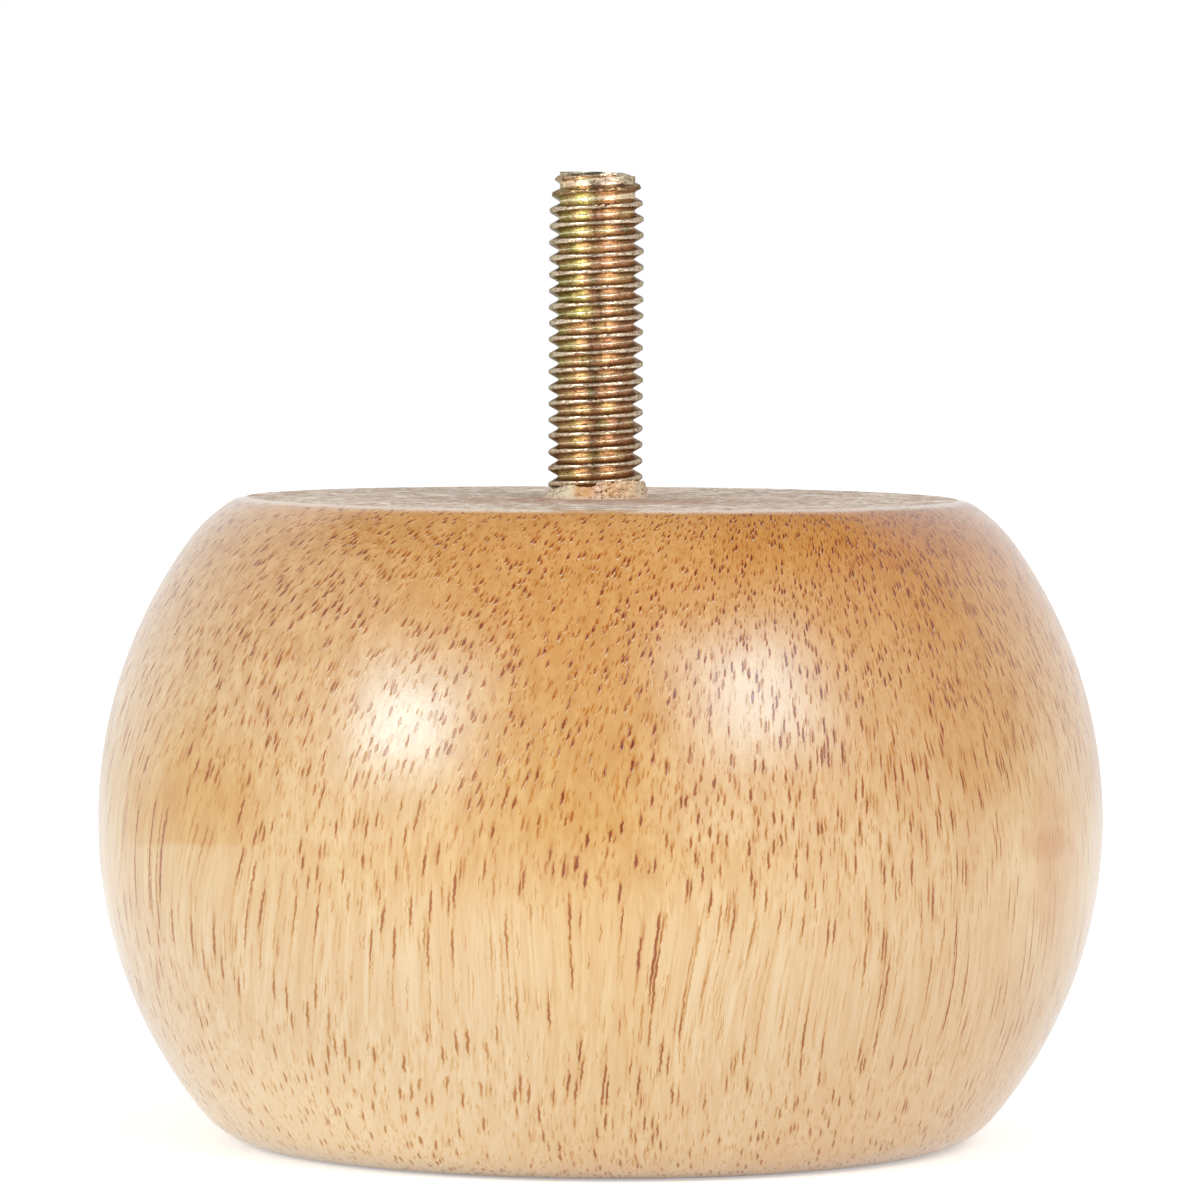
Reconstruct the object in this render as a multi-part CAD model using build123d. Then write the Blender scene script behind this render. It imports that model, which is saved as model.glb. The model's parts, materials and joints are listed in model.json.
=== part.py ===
from build123d import *
from math import asin, cos, radians, sin, sqrt, tan
import os

# A turned wooden bun foot for furniture. The wood is a flattened ball with a flat base and a flat
# seat, and a steel hanger bolt is glued into the seat. Its upper end is the stud that screws into
# the furniture. Millimetres, Z up, origin at the centre of the flat base.

# Turned body
FOOT_HEIGHT = 63.5              # base to seat
BELLY_RADIUS = 49.6             # widest radius, at half the height
UPPER_ARC_RADIUS = 46.8         # the side's arc above the belly
LOWER_ARC_RADIUS = 45.2         # the side's arc below the belly
BASE_CORNER_RADIUS = 8.0
SHOULDER_DEPTH = 4.4            # the side starts to turn in this far below the seat
SHOULDER_SETBACK = 1.45         # and this turn draws the seat's edge in by this much
SEAT_ARRIS = 0.7                # width of the broken edge around the seat

# Hanger bolt, three eighths of an inch, with sixteen threads to the inch on the stud
BOLT_LENGTH = 63.5
BOLT_OFFSET = 0.7               # its axis runs this far to the left of the turning axis
STUD_LENGTH = 32.1              # seat to tip
STUD_DIAMETER = 9.3             # over the thread's crests
STUD_PITCH = 1.5875
TIP_TAPER_DEPTH = 0.85          # the first threads are not full: their crests are lower by this much
TIP_TAPER_LENGTH = 2.4
SHANK_DEPTH = 3.5               # the plain shank ends this far below the seat
WOOD_THREAD_DIAMETER = 9.5      # over the crests of the coarse thread in the wood
WOOD_THREAD_POINT = 9.0         # length of the tapered point
POINT_DIAMETER = 1.6            # the point's blunt end

# Pilot hole, drilled to the root of the coarse thread and a little deeper than the bolt
PILOT_DIAMETER = 6.8
PILOT_SPARE = 4.0
DRILL_POINT_ANGLE = 118.0

# Squeezed-out glue and torn fibre around the stud's foot, sunk in the hole's countersunk mouth
COLLAR_RADIUS = 5.3
COLLAR_EDGE_HEIGHT = 0.35       # its outer edge stands this far above the seat
COLLAR_EDGE_LEAN = 0.15         # and leans in by this much
COLLAR_HEIGHT = 0.8             # its top, without the crumbs, stands this far above the seat
COUNTERSINK_DEPTH = 0.9
CRUMB_COUNT = 11
CRUMB_SIDES = 5
CRUMB_TAPER = 25.0              # degrees
CRUMB_ROOT = 0.3                # each crumb is sunk this deep in the collar's top
CRUMB_MARGIN = 0.15             # the crumbs stay this far inside the collar's edge
SMALL_CRUMB = 0.45              # radius and height of a crumb
LARGE_CRUMB = 0.8
LARGE_CRUMB_DIRECTION = -20.0   # degrees from X, seen from above, where the crumbs are largest
THREAD_GAP = 0.1                # the full thread starts this far above the largest crumb

# Worked out from the sizes above
BELLY_HEIGHT = FOOT_HEIGHT / 2
STUD_RADIUS = STUD_DIAMETER / 2
SHARP_THREAD_HEIGHT = STUD_PITCH * sqrt(3) / 2
SHANK_RADIUS = STUD_RADIUS - 3 / 8 * SHARP_THREAD_HEIGHT    # the rolled blank, at the pitch line
WOOD_THREAD_RADIUS = WOOD_THREAD_DIAMETER / 2
POINT_RADIUS = POINT_DIAMETER / 2
PILOT_RADIUS = PILOT_DIAMETER / 2
STUD_TIP = FOOT_HEIGHT + STUD_LENGTH
BOLT_END = STUD_TIP - BOLT_LENGTH
POINT_START = BOLT_END + WOOD_THREAD_POINT
SHANK_END = FOOT_HEIGHT - SHANK_DEPTH
MOUTH_BOTTOM = FOOT_HEIGHT - COUNTERSINK_DEPTH
COLLAR_TOP = FOOT_HEIGHT + COLLAR_HEIGHT
THREAD_START = COLLAR_TOP + LARGE_CRUMB + THREAD_GAP


def side_radius(arc_radius, rise):
    """Radius of the body's side this far above or below the belly, on an arc centred at its height."""
    return BELLY_RADIUS - arc_radius + sqrt(arc_radius**2 - rise**2)


def make_blank():
    """The turned wood before drilling: two arcs, an eased shoulder, a rounded base and a broken seat edge."""
    shoulder_rise = FOOT_HEIGHT - SHOULDER_DEPTH - BELLY_HEIGHT
    seat_rise = FOOT_HEIGHT - BELLY_HEIGHT
    belly = (BELLY_RADIUS, BELLY_HEIGHT)
    base_edge = (side_radius(LOWER_ARC_RADIUS, BELLY_HEIGHT), 0)
    shoulder = (side_radius(UPPER_ARC_RADIUS, shoulder_rise), BELLY_HEIGHT + shoulder_rise)
    seat_edge = (side_radius(UPPER_ARC_RADIUS, seat_rise) - SHOULDER_SETBACK, FOOT_HEIGHT)
    turn = asin(shoulder_rise / UPPER_ARC_RADIUS)

    outline = [
        Line((0, 0), base_edge),
        TangentArc(belly, base_edge, tangent=(0, -1)),
        TangentArc(belly, shoulder, tangent=(0, 1)),
        TangentArc(shoulder, seat_edge, tangent=(-sin(turn), cos(turn))),
        Line(seat_edge, (0, FOOT_HEIGHT)),
        Line((0, FOOT_HEIGHT), (0, 0)),
    ]
    section = make_face(outline)
    base_corner = section.vertices().sort_by_distance((*base_edge, 0))[0]
    section = fillet(base_corner, BASE_CORNER_RADIUS)
    arris = section.vertices().sort_by_distance((*seat_edge, 0))[0]
    section = chamfer(arris, SEAT_ARRIS)
    return revolve(Plane.XZ * section, Axis.Z)


def turn_on_bolt_axis(*points):
    """A solid turned about the bolt's axis, from the radius and height of its outline's corners."""
    section = make_face(Polyline(*points, close=True))
    return Pos(-BOLT_OFFSET, 0, 0) * revolve(Plane.XZ * section, Axis.Z)


def make_bolt_hole():
    """What the drill, the countersink and the bolt's coarse thread take out of the wood."""
    drill_point = PILOT_RADIUS / tan(radians(DRILL_POINT_ANGLE / 2))
    pilot_end = BOLT_END - PILOT_SPARE
    point_share = (PILOT_RADIUS - POINT_RADIUS) / (WOOD_THREAD_RADIUS - POINT_RADIUS)
    return turn_on_bolt_axis(
        (0, pilot_end - drill_point),
        (PILOT_RADIUS, pilot_end),
        (PILOT_RADIUS, BOLT_END + point_share * WOOD_THREAD_POINT),
        (WOOD_THREAD_RADIUS, POINT_START),
        (WOOD_THREAD_RADIUS, SHANK_END),
        (SHANK_RADIUS, SHANK_END),
        (SHANK_RADIUS, MOUTH_BOTTOM),
        (COLLAR_RADIUS, FOOT_HEIGHT),
        (0, FOOT_HEIGHT),
    )


def make_hanger_bolt():
    """Coarse-threaded end with its point, plain shank, and the stud with its tapered first threads."""
    return turn_on_bolt_axis(
        (0, BOLT_END),
        (POINT_RADIUS, BOLT_END),
        (WOOD_THREAD_RADIUS, POINT_START),
        (WOOD_THREAD_RADIUS, SHANK_END),
        (SHANK_RADIUS, SHANK_END),
        (SHANK_RADIUS, THREAD_START),
        (STUD_RADIUS, THREAD_START),
        (STUD_RADIUS, STUD_TIP - TIP_TAPER_LENGTH),
        (STUD_RADIUS - TIP_TAPER_DEPTH, STUD_TIP),
        (0, STUD_TIP),
    )


def make_crumb(number):
    """One angular crumb in the collar's top, largest on the side where the collar is highest."""
    angle = number * 360 / CRUMB_COUNT
    largeness = (1 + cos(radians(angle - LARGE_CRUMB_DIRECTION))) / 2
    size = SMALL_CRUMB + largeness * (LARGE_CRUMB - SMALL_CRUMB)
    reach = COLLAR_RADIUS - CRUMB_MARGIN - size
    outline = RegularPolygon(size, CRUMB_SIDES, rotation=number * angle)
    crumb = extrude(outline, CRUMB_ROOT + size, taper=CRUMB_TAPER)
    around = Pos(-BOLT_OFFSET, 0, COLLAR_TOP - CRUMB_ROOT) * Rot(0, 0, angle)
    return around * Pos(reach, 0, 0) * crumb


def make_collar():
    """The ring of glue in the hole's mouth, with its crumbs, around the bolt's shank."""
    ring = turn_on_bolt_axis(
        (0, MOUTH_BOTTOM),
        (SHANK_RADIUS, MOUTH_BOTTOM),
        (COLLAR_RADIUS, FOOT_HEIGHT),
        (COLLAR_RADIUS - COLLAR_EDGE_LEAN, FOOT_HEIGHT + COLLAR_EDGE_HEIGHT),
        ((SHANK_RADIUS + COLLAR_RADIUS) / 2, COLLAR_TOP),
        (0, COLLAR_TOP),
    )
    shank = turn_on_bolt_axis(
        (0, MOUTH_BOTTOM),
        (SHANK_RADIUS, MOUTH_BOTTOM),
        (SHANK_RADIUS, THREAD_START),
        (0, THREAD_START),
    )
    crumbs = [make_crumb(number) for number in range(CRUMB_COUNT)]
    return ring + crumbs - shank


parts = {
    "bun_body": make_blank() - make_bolt_hole(),
    "hanger_bolt": make_hanger_bolt(),
    "glue_collar": make_collar(),
}

os.makedirs("parts", exist_ok=True)
for node, solid in parts.items():
    export_step(solid, f"parts/{node}.step")
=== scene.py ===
import json
import random
from math import asin, atan2, cos, exp, pi, radians, sin, sqrt, tan, tau

import bmesh
import bpy
import numpy as np
from mathutils import Matrix, Vector, noise

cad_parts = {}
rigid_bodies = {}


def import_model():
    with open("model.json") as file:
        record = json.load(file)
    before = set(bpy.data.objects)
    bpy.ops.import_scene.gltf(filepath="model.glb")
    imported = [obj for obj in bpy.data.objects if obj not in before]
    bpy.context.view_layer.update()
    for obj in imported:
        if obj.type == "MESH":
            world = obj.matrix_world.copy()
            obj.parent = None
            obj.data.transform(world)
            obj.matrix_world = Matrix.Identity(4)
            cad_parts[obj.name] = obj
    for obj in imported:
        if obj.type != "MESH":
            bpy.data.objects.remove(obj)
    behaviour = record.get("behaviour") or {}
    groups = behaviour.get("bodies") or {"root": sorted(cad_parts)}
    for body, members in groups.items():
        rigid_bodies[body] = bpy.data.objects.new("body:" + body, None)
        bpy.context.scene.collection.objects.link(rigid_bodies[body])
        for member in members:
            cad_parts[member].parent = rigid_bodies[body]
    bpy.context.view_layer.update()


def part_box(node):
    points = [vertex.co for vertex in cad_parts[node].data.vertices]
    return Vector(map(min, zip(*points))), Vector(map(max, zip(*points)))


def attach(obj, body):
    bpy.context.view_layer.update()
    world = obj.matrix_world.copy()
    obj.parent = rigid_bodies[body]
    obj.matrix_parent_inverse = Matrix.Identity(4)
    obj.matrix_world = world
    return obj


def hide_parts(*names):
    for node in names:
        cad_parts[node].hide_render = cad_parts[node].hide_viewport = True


# A turned wooden bun foot on a plain pale floor. The meshes are worked out in millimetres, in the
# frame of the CAD model, and are scaled to metres as they are made.
MM = 0.001

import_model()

body_low, body_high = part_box("bun_body")
bolt_low, bolt_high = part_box("hanger_bolt")

# Turned body
FOOT_HEIGHT = body_high.z / MM
BELLY_RADIUS = body_high.x / MM
BELLY_HEIGHT = FOOT_HEIGHT / 2
UPPER_ARC_RADIUS = 46.8
LOWER_ARC_RADIUS = 45.2
BASE_CORNER_RADIUS = 8.0
SHOULDER_DEPTH = 4.4
SHOULDER_SETBACK = 1.45
SEAT_ARRIS = 0.7

# Hanger bolt
BOLT_OFFSET = 0.7
STUD_TIP = bolt_high.z / MM
BOLT_END = bolt_low.z / MM
STUD_RADIUS = 4.65
STUD_ROOT = 3.72
STUD_PITCH = 1.5875
STUD_CREST_HEIGHT = 68.77       # the thread's crest passes +X at this height
SHANK_RADIUS = 4.134
SHANK_LOW = 60.0
SHANK_HIGH = 63.62
WOOD_THREAD_RADIUS = 4.75
WOOD_THREAD_ROOT = 3.4
WOOD_THREAD_PITCH = 3.629
WOOD_THREAD_POINT = 9.0
POINT_RADIUS = 0.8

# Pilot hole
PILOT_RADIUS = 3.4
PILOT_SPARE = 4.0
DRILL_POINT = 2.04

# Collar
COLLAR_RADIUS = 5.3
MOUTH_BOTTOM = FOOT_HEIGHT - 0.9

WELD = 1e-4                     # points nearer than this are one

# Photograph's camera, in millimetres, radians and the lens and sensor's own millimetres
CAMERA_PLACE = (-0.165, -765.0, 88.9)
CAMERA_PITCH = radians(2.658)
CAMERA_ROLL = radians(0.319)
CAMERA_LENS = 232.6
SENSOR = 36.0


# ---- meshes ----

class Shape:
    """Collects the points and faces of one piece, in millimetres."""

    def __init__(self):
        self.points = []
        self.faces = []
        self.finishes = []
        self.marks = {}         # from a point's number to how deep it lies in a crevice, from 0 to 1

    def add(self, points, faces, finish=0):
        start = len(self.points)
        self.points.extend(tuple(p) for p in points)
        self.faces.extend(tuple(start + i for i in face) for face in faces)
        self.finishes.extend([finish] * len(faces))

    def add_rings(self, rings, finish=0):
        """Quads between closed rings that have the same number of points."""
        count = len(rings[0])
        faces = []
        for row in range(len(rings) - 1):
            for column in range(count):
                after = (column + 1) % count
                a, b = row * count, (row + 1) * count
                faces.append((a + column, a + after, b + after, b + column))
        self.add([p for ring in rings for p in ring], faces, finish)

    def close_ring(self, ring, centre, finish=0):
        """A fan from a closed ring to a point. It goes the other way round from add_rings' last ring."""
        count = len(ring)
        faces = [(i, (i + 1) % count, count) for i in range(count)]
        self.add(list(ring) + [centre], faces, finish)

    def build(self, name, materials, sharp=35.0):
        """The welded mesh object, with edges sharper than this many degrees kept sharp."""
        mesh = bpy.data.meshes.new(name)
        mesh.from_pydata([[c * MM for c in p] for p in self.points], [], self.faces)
        mesh.polygons.foreach_set("material_index", self.finishes)
        for material in materials:
            mesh.materials.append(material)
        if self.marks:
            crevice = mesh.attributes.new("crevice", "FLOAT", "POINT")
            crevice.data.foreach_set("value", [self.marks.get(i, 0.0) for i in range(len(self.points))])
        work = bmesh.new()
        work.from_mesh(mesh)
        bmesh.ops.remove_doubles(work, verts=work.verts, dist=WELD * MM)
        bmesh.ops.dissolve_degenerate(work, edges=work.edges, dist=WELD * MM)
        bmesh.ops.recalc_face_normals(work, faces=work.faces)
        work.to_mesh(mesh)
        work.free()
        mesh.shade_smooth()
        mesh.set_sharp_from_angle(angle=radians(sharp))
        return put(name, mesh)


def put(name, data):
    """A new object with this data, in the scene."""
    made = bpy.data.objects.new(name, data)
    bpy.context.scene.collection.objects.link(made)
    return made


def circle(radius, height, count, centre=0.0):
    """A ring of points whose middle lies this far along X."""
    return [
        (centre + radius * cos(tau * i / count), radius * sin(tau * i / count), height)
        for i in range(count)
    ]


def smooth(low, high, value):
    """0 at low and 1 at high, with soft ends."""
    t = min(1.0, max(0.0, (value - low) / (high - low)))
    return t * t * (3 - 2 * t)


def bumps(x, y, z, scale, octaves=3):
    """Smooth noise from about -1 to 1, whose features are about this many millimetres across."""
    return noise.fractal(Vector((x, y, z)) / scale, 1.0, 2.0, octaves)


# ---- body ----

CORNER_STEPS = 15
ARC_STEPS = 56
BODY_COLUMNS = 400
SEAT_RINGS = 64
RIDGE_HEIGHT = 0.045
TEAR_HEIGHT = 0.10


def side_outline():
    """Radius and height along the turned side, from the base's edge to the seat's, and where the arris starts."""
    lower_centre = BELLY_RADIUS - LOWER_ARC_RADIUS
    upper_centre = BELLY_RADIUS - UPPER_ARC_RADIUS
    inner = LOWER_ARC_RADIUS - BASE_CORNER_RADIUS
    corner_rise = BELLY_HEIGHT - BASE_CORNER_RADIUS
    corner_centre = lower_centre + sqrt(inner**2 - corner_rise**2)
    corner_turn = asin(corner_rise / inner)
    outline = []
    for i in range(CORNER_STEPS):
        turn = -pi / 2 + i / CORNER_STEPS * (pi / 2 - corner_turn)
        outline.append((corner_centre + BASE_CORNER_RADIUS * cos(turn),
                        BASE_CORNER_RADIUS + BASE_CORNER_RADIUS * sin(turn)))
    for i in range(ARC_STEPS):
        turn = -corner_turn * (1 - i / ARC_STEPS)
        outline.append((lower_centre + LOWER_ARC_RADIUS * cos(turn), BELLY_HEIGHT + LOWER_ARC_RADIUS * sin(turn)))

    shoulder_rise = BELLY_HEIGHT - SHOULDER_DEPTH
    shoulder_turn = asin(shoulder_rise / UPPER_ARC_RADIUS)
    for i in range(ARC_STEPS):
        turn = shoulder_turn * i / ARC_STEPS
        outline.append((upper_centre + UPPER_ARC_RADIUS * cos(turn), BELLY_HEIGHT + UPPER_ARC_RADIUS * sin(turn)))

    start = np.array((upper_centre + UPPER_ARC_RADIUS * cos(shoulder_turn), BELLY_HEIGHT + shoulder_rise))
    seat_edge = upper_centre + sqrt(UPPER_ARC_RADIUS**2 - BELLY_HEIGHT**2) - SHOULDER_SETBACK
    end = np.array((seat_edge, FOOT_HEIGHT))
    inward = np.array((-cos(shoulder_turn), -sin(shoulder_turn)))
    chord = end - start
    arc_radius = chord @ chord / (2 * chord @ inward)
    centre = start + arc_radius * inward
    first = atan2(start[1] - centre[1], start[0] - centre[0])
    last = atan2(end[1] - centre[1], end[0] - centre[0]) - SEAT_ARRIS / arc_radius
    for i in range(CORNER_STEPS):
        turn = first + (last - first) * i / (CORNER_STEPS - 1)
        outline.append((centre[0] + arc_radius * cos(turn), centre[1] + arc_radius * sin(turn)))
    return outline, seat_edge - SEAT_ARRIS


def torn_fibre(x, y):
    """The sawn seat's roughness: short ridges and torn spots."""
    ridges = bumps(x * 0.75, y * 0.55, 2.0, 1.0, 3)
    torn = max(0.0, bumps(x * 0.5, y * 0.4, 9.0, 1.6, 2) - 0.15)
    return RIDGE_HEIGHT * ridges + TEAR_HEIGHT * torn


def make_body(materials):
    """The turned side, base, arris, seat, and the hole that the bolt and the collar fill."""
    count = BODY_COLUMNS
    shape = Shape()
    outline, seat_radius = side_outline()
    base_radius = outline[0][0]
    base = [circle(base_radius * s, 0, count) for s in (0.25, 0.5, 0.75, 0.95, 1.0)]
    shape.close_ring(base[0], (0, 0, 0))
    shape.add_rings(base)
    side = [circle(r, z, count) for r, z in outline]
    shape.add_rings(side)
    arris = [side[-1], circle(seat_radius, FOOT_HEIGHT, count)]
    shape.add_rings(arris)
    seat = []
    for i in range(SEAT_RINGS + 1):
        t = i / SEAT_RINGS
        flat = circle(seat_radius + t * (COLLAR_RADIUS - seat_radius), FOOT_HEIGHT, count, -BOLT_OFFSET * t)
        fade = smooth(0.0, 0.03, t) * smooth(1.0, 0.97, t)
        seat.append([(x, y, z + fade * torn_fibre(x, y)) for x, y, z in flat])
    shape.add_rings(seat, 1)
    pilot_end = BOLT_END - PILOT_SPARE
    share = (PILOT_RADIUS - POINT_RADIUS) / (WOOD_THREAD_RADIUS - POINT_RADIUS)
    hole = [
        (COLLAR_RADIUS, FOOT_HEIGHT),
        (SHANK_RADIUS, MOUTH_BOTTOM),
        (SHANK_RADIUS, SHANK_LOW),
        (WOOD_THREAD_RADIUS, SHANK_LOW),
        (WOOD_THREAD_RADIUS, BOLT_END + WOOD_THREAD_POINT),
        (PILOT_RADIUS, BOLT_END + share * WOOD_THREAD_POINT),
        (PILOT_RADIUS, pilot_end),
        (PILOT_RADIUS / 2, pilot_end - DRILL_POINT / 2),
    ]
    rings = [circle(r, z, count, -BOLT_OFFSET) for r, z in hole]
    shape.add_rings(rings, 1)
    shape.close_ring(rings[-1], (-BOLT_OFFSET, 0, pilot_end - DRILL_POINT), 1)
    return shape.build("turned_body", materials)


# ---- bolt ----

BOLT_COLUMNS = 156

# Where the rows of points lie in one pitch, from crest to crest
STUD_SAMPLES = (0.0, 0.04, 0.075, 0.10, 0.13, 0.20, 0.28, 0.36, 0.41, 0.455,
                0.5, 0.545, 0.59, 0.64, 0.72, 0.80, 0.87, 0.90, 0.925, 0.96)
WOOD_SAMPLES = (0.0, 0.03, 0.06, 0.14, 0.22, 0.32, 0.5, 0.68, 0.78, 0.86, 0.94, 0.97)

# Depth below the stud's tip, and the most that the radius may be there
TIP_ENVELOPE = ((0.0, 3.68), (0.3, 3.84), (0.7, 4.14), (1.6, 4.34), (2.4, 4.42),
                (3.1, 4.56), (3.85, 4.63), (4.6, 4.65))
TIP_ROOT = 3.64                 # radius of the grooves in the last threads, a little more on the right
RUNOUT = 0.7                    # the thread fades into the shank over this length


def stud_profile(phase, crest_half):
    """Radius of the rolled thread at this share of a pitch from its crest: worn crest, 60 degree flanks, round root."""
    d = min(phase, 1 - phase) * STUD_PITCH
    flank = STUD_RADIUS - (d - crest_half) * sqrt(3)
    crest = STUD_RADIUS - 0.9 * d**2
    from_root = STUD_PITCH / 2 - d
    root = STUD_ROOT + 3.0 * from_root**2
    value = min(crest, flank)
    return max(value, root) if from_root < 0.28 else value


def stud_radius(angle, height):
    """The stud's radius here: its thread, the tapered tip, the runout, and wear and nicks on the crests."""
    x, y = cos(angle) * 4.6, sin(angle) * 4.6
    phase = ((height - STUD_CREST_HEIGHT) / STUD_PITCH - angle / tau) % 1
    crest_half = 0.115 + 0.07 * cos(angle) ** 2 + 0.05 * bumps(x, y, height * 0.8, 2.2, 2)
    radius = stud_profile(phase, crest_half)
    below_tip = STUD_TIP - height
    drop = STUD_RADIUS - np.interp(below_tip, *zip(*TIP_ENVELOPE))
    if drop > 0:
        radius = max(radius - drop, TIP_ROOT + 0.14 * max(0.0, cos(angle)))
    above_shank = height - SHANK_HIGH
    if above_shank < RUNOUT:
        t = max(0.0, above_shank / RUNOUT)
        radius = SHANK_RADIUS + (radius - SHANK_RADIUS) * t
    if above_shank <= 0 or below_tip < 0.05:
        return radius
    crest_share = smooth(STUD_RADIUS - drop - 0.35, STUD_RADIUS - drop, radius)
    wear = 0.04 * bumps(x, y, height * 1.3, 1.1) + 0.035 * bumps(x, y, height, 0.35)
    nick = max(0.0, bumps(x, y, height * 1.5, 0.7, 2) - 0.45) * 0.4
    return radius + crest_share * (wear - nick) + 0.015 * bumps(x, y, height, 0.4)


def wood_thread_radius(angle, height):
    """The coarse thread's radius here, with sharp ridges far apart and a tapered point."""
    phase = ((height - BOLT_END) / WOOD_THREAD_PITCH - angle / tau) % 1
    d = min(phase, 1 - phase)
    ridge = 1 - smooth(0.04, 0.30, d)
    share = min(1.0, (height - BOLT_END) / WOOD_THREAD_POINT)
    crest = POINT_RADIUS + share * (WOOD_THREAD_RADIUS - POINT_RADIUS)
    root = min(WOOD_THREAD_ROOT, POINT_RADIUS + share**0.8 * (WOOD_THREAD_ROOT - POINT_RADIUS))
    fade = smooth(0.0, 1.5, SHANK_LOW - height) * smooth(0.0, 0.6, height - BOLT_END)
    return root + (crest - root) * ridge * fade if fade < 1 else root + (crest - root) * ridge


def helix(shape, low, high, pitch, crest, samples, radius_at, finish=0):
    """A threaded surface whose rows of points follow the helix, cut off flat at both ends."""
    count = BOLT_COLUMNS
    turns = int((high - low) / pitch) + 3
    first = low - pitch * ((low - crest) / pitch % 1) - pitch
    rows = []
    for turn in range(turns + 1):
        for sample in samples:
            base = first + (turn + sample) * pitch
            row = []
            for i in range(count):
                angle = tau * i / count
                z = min(high, max(low, base + pitch * i / count))
                r = radius_at(angle, z)
                row.append((-BOLT_OFFSET + r * cos(angle), r * sin(angle), z))
            rows.append(row)
    per_turn = len(samples)
    faces = []
    for row in range(len(rows) - per_turn - 1):
        for i in range(count):
            if i < count - 1:
                quad = (row * count + i, row * count + i + 1, (row + 1) * count + i + 1, (row + 1) * count + i)
            else:
                a, b = (row + per_turn) * count, (row + per_turn + 1) * count
                quad = (row * count + i, a, b, (row + 1) * count + i)
            heights = [rows[k // count][k % count][2] for k in quad]
            if max(heights) - min(heights) > 1e-6:
                faces.append(quad)
    shape.add([p for row in rows for p in row], faces, finish)


def bolt_ring(radius_at, height, scale=1.0, lift=None):
    """A ring around the bolt's axis, whose radius is a number or goes by angle and height."""
    ring = []
    for i in range(BOLT_COLUMNS):
        angle = tau * i / BOLT_COLUMNS
        r = (radius_at(angle, height) if callable(radius_at) else radius_at) * scale
        x, y = r * cos(angle), r * sin(angle)
        ring.append((-BOLT_OFFSET + x, y, height + (lift(x, y) if lift else 0.0)))
    return ring


def tip_lift(x, y):
    """The sawn and dished end of the stud."""
    r = sqrt(x * x + y * y)
    dish = -0.10 * (1 - smooth(1.2, 3.4, r))
    rough = 0.035 * (bumps(x, y, 3.0, 0.5) - 1.0) if r < 3.6 else 0.0
    return dish + rough


def ease_tip(point):
    """The end is lower towards the right, where its first thread starts."""
    x, y, z = point
    x += BOLT_OFFSET
    r = sqrt(x * x + y * y)
    lead = 0.42 * smooth(2.4, 3.8, r) * max(0.0, cos(atan2(y, x))) ** 1.5
    return (point[0], y, z - lead * smooth(STUD_TIP - 1.1, STUD_TIP - 0.1, z))


def make_bolt(material):
    shape = Shape()
    helix(shape, SHANK_HIGH, STUD_TIP, STUD_PITCH, STUD_CREST_HEIGHT, STUD_SAMPLES, stud_radius)
    helix(shape, BOLT_END, SHANK_LOW, WOOD_THREAD_PITCH, BOLT_END, WOOD_SAMPLES, wood_thread_radius)
    shank = [bolt_ring(wood_thread_radius, SHANK_LOW), bolt_ring(SHANK_RADIUS, SHANK_LOW + 0.5),
             bolt_ring(SHANK_RADIUS, SHANK_HIGH - 0.3), bolt_ring(stud_radius, SHANK_HIGH)]
    shape.add_rings(shank)
    tip = [bolt_ring(stud_radius, STUD_TIP, scale, tip_lift) for scale in
           (1.0, 0.985, 0.96, 0.92, 0.87, 0.8, 0.72, 0.63, 0.54, 0.45, 0.36, 0.27, 0.18, 0.09)]
    shape.add_rings(tip)
    shape.close_ring(tip[-1], (-BOLT_OFFSET, 0, STUD_TIP - 0.1))
    end = [bolt_ring(wood_thread_radius, BOLT_END), bolt_ring(wood_thread_radius, BOLT_END, 0.5)]
    shape.add_rings(end)
    shape.close_ring(end[-1], (-BOLT_OFFSET, 0, BOLT_END))
    shape.points = [ease_tip(p) if p[2] > STUD_TIP - 1.2 else p for p in shape.points]
    return shape.build("threaded_bolt", [material], sharp=60)


# ---- collar ----

# Direction from +X in degrees, seen from above (the viewer is at -90), and the glue's height above the seat
COLLAR_TOPS = (
    (-180, 0.50), (-166, 0.62), (-150, 0.95), (-138, 1.22), (-128, 1.52), (-122, 1.48), (-112, 1.22),
    (-106, 1.15), (-93, 1.15), (-89, 1.38), (-85, 1.70), (-78, 1.68), (-70, 1.56), (-65, 1.62), (-60, 1.78),
    (-40, 1.74), (-22, 1.70), (-8, 1.62), (2, 1.15), (14, 0.85), (50, 1.05), (120, 0.95), (160, 0.7), (180, 0.50),
)

COLLAR_COLUMNS = 440
COLLAR_INNER = 3.55             # where the glue's top meets the bolt
WALL_ROWS = 30
BROW_ROWS = 12                  # on the top, from the wall to the bolt
CRUMBS = 170
CRUMB_SEED = 11


def collar_top(angle):
    return float(np.interp(angle, *zip(*COLLAR_TOPS)))


def pebbles(x, y, z, size):
    """How deep this point lies between packed grains of this size, from 0 to 1, and how far from a grain's middle."""
    near = noise.voronoi(Vector((x, y, z)) / size)[0]
    return 1 - smooth(0.0, 0.30, near[1] - near[0]), near[0]


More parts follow.
